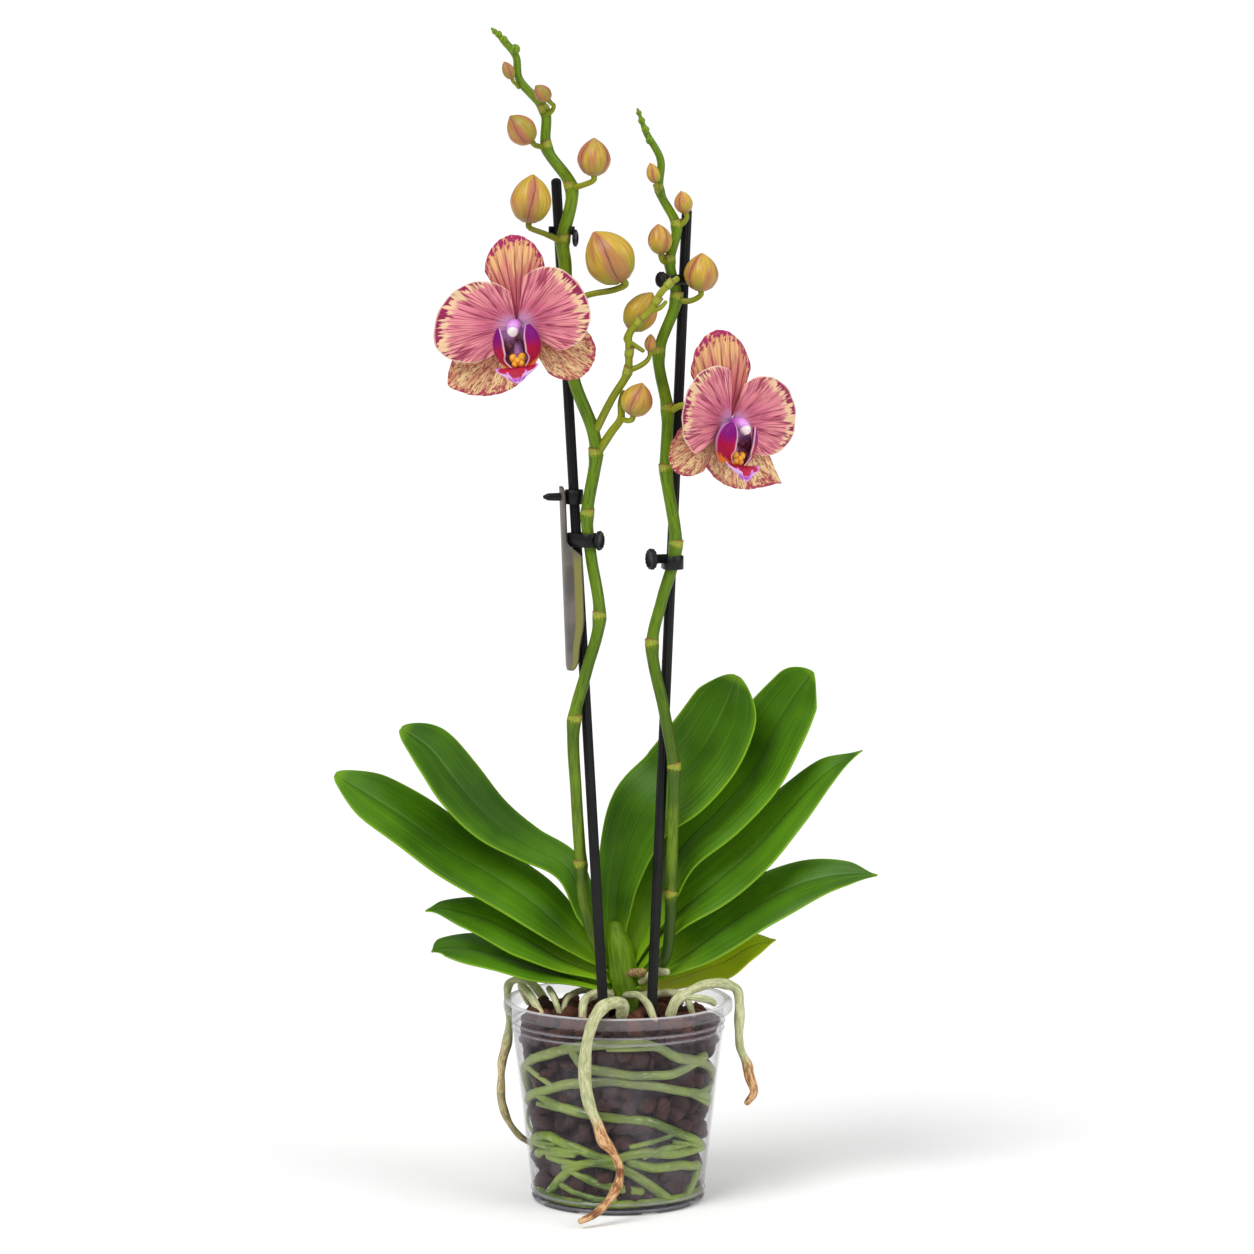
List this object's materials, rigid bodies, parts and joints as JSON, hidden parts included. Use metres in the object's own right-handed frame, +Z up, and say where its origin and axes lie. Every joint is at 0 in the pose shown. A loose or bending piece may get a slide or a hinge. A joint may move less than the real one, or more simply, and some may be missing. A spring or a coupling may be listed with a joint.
{
  "type": "potted orchid",
  "caption": "Moth orchid in a clear nursery pot of bark, with leathery leaves, air roots, staked flower spikes, buds and open striped blooms, and a blank tag.",
  "frame": {"origin": "middle of the pot's underside, on the surface that it stands on", "axes": "+Z up along the pot's axis and the stakes; +X to the right and +Y to the back, seen from the side that the blooms face"},
  "size_m": [0.2832, 0.1338, 0.608],
  "materials": {
    "clear_pot": "clear, slightly hazy moulded plastic",
    "bark": "rough, dull, broken conifer bark",
    "root_in_pot": "smooth, damp, green",
    "root_in_air": "silvery velamen, matt",
    "stem": "smooth, satin, yellow-green",
    "leaf": "leathery, satin gloss, fine parallel veins",
    "leaf_old": "leathery, satin, yellowing",
    "bud": "smooth, waxy, olive yellow blushed with pink",
    "petal": "velvety, veined rose pink with a cream, blotched margin",
    "sepal": "velvety, striped peach cream",
    "lip": "waxy crimson to purple",
    "column": "waxy lilac white",
    "black_plastic": "satin black, finely grooved on the stakes",
    "label": "satin, plain, printed grey and olive halves, no lettering"
  },
  "bodies": {
    "root": {"pot": "clear_pot", "bark_bed": "bark", "inner_roots": "root_in_pot", "aerial_root_front": "root_in_air", "aerial_root_right": "root_in_air", "aerial_root_left": "root_in_air", "crown": "stem", "leaf_left_1": "leaf", "leaf_left_2": "leaf", "leaf_left_3": "leaf", "leaf_left_4": "leaf", "leaf_right_1": "leaf", "leaf_right_2": "leaf", "leaf_right_3": "leaf", "leaf_right_4": "leaf", "leaf_right_5": "leaf_old", "spike_left": "stem", "spike_right": "stem", "bud_left_1": "bud", "bud_left_2": "bud", "bud_left_3": "bud", "bud_left_4": "bud", "bud_left_5": "bud", "bud_left_6": "bud", "bud_branch_1": "bud", "bud_branch_2": "bud", "bud_branch_3": "bud", "bud_right_1": "bud", "bud_right_2": "bud", "bud_right_3": "bud", "bud_right_4": "bud", "bloom_left_sepals": "sepal", "bloom_left_petals": "petal", "bloom_left_lip": "lip", "bloom_left_column": "column", "bloom_right_sepals": "sepal", "bloom_right_petals": "petal", "bloom_right_lip": "lip", "bloom_right_column": "column", "stake_left": "black_plastic", "stake_right": "black_plastic", "clip_left_lower": "black_plastic", "clip_left_upper": "black_plastic", "clip_right_lower": "black_plastic", "clip_right_upper": "black_plastic", "label_clip": "lip", "label": "label"}
  },
  "joints": []
}
